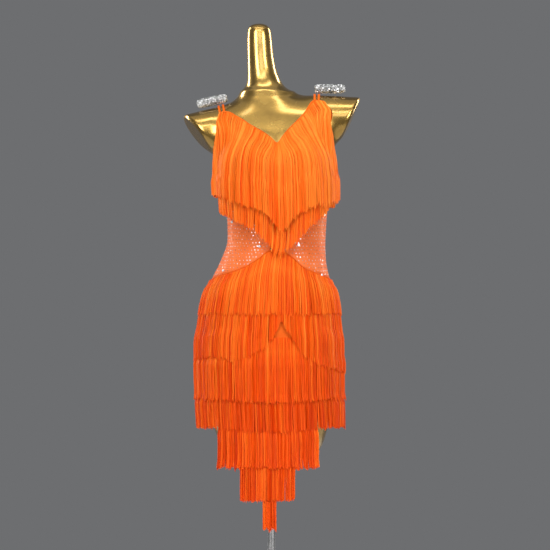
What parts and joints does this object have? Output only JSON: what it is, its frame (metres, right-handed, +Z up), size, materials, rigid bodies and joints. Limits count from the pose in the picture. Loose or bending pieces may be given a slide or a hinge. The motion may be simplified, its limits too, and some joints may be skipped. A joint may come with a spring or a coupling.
{
  "type": "fringed latin dance dress on a torso dress form",
  "caption": "One-piece orange dance dress with net sides and tiered fringe, worn by a gold limbless torso form on a round stand.",
  "frame": {"origin": "on the floor, at the middle of the object's box seen from above", "axes": "+Z up, the front of the dress faces -Y, +X is the viewer's right"},
  "size_m": [0.4106, 0.32, 1.303],
  "materials": {
    "form_gold": "glossy gold paint",
    "stand_steel": "satin",
    "cloth_orange": "stretch knit",
    "net_orange": "sheer net with small stones",
    "fringe_orange": "silky thread",
    "stone_silver": "cut stones"
  },
  "bodies": {
    "root": {"form_torso": "form_gold", "stand_base": "stand_steel", "stand_pole": "stand_steel", "bodice_front": "cloth_orange", "bodice_back": "cloth_orange", "net_left": "net_orange", "net_right": "net_orange", "skirt_front": "cloth_orange", "skirt_back": "cloth_orange", "strap_left_outer": "cloth_orange", "strap_left_inner": "cloth_orange", "strap_right_inner": "cloth_orange", "strap_right_outer": "cloth_orange", "shoulder_bar_left": "stone_silver", "shoulder_bar_right": "stone_silver", "fringe_tier_1": "fringe_orange", "fringe_tier_2": "fringe_orange", "fringe_tier_3": "fringe_orange", "fringe_tier_4": "fringe_orange", "fringe_tier_5": "fringe_orange", "fringe_tier_6": "fringe_orange", "fringe_tier_7": "fringe_orange", "fringe_tier_8": "fringe_orange", "fringe_tier_9": "fringe_orange"}
  },
  "joints": []
}
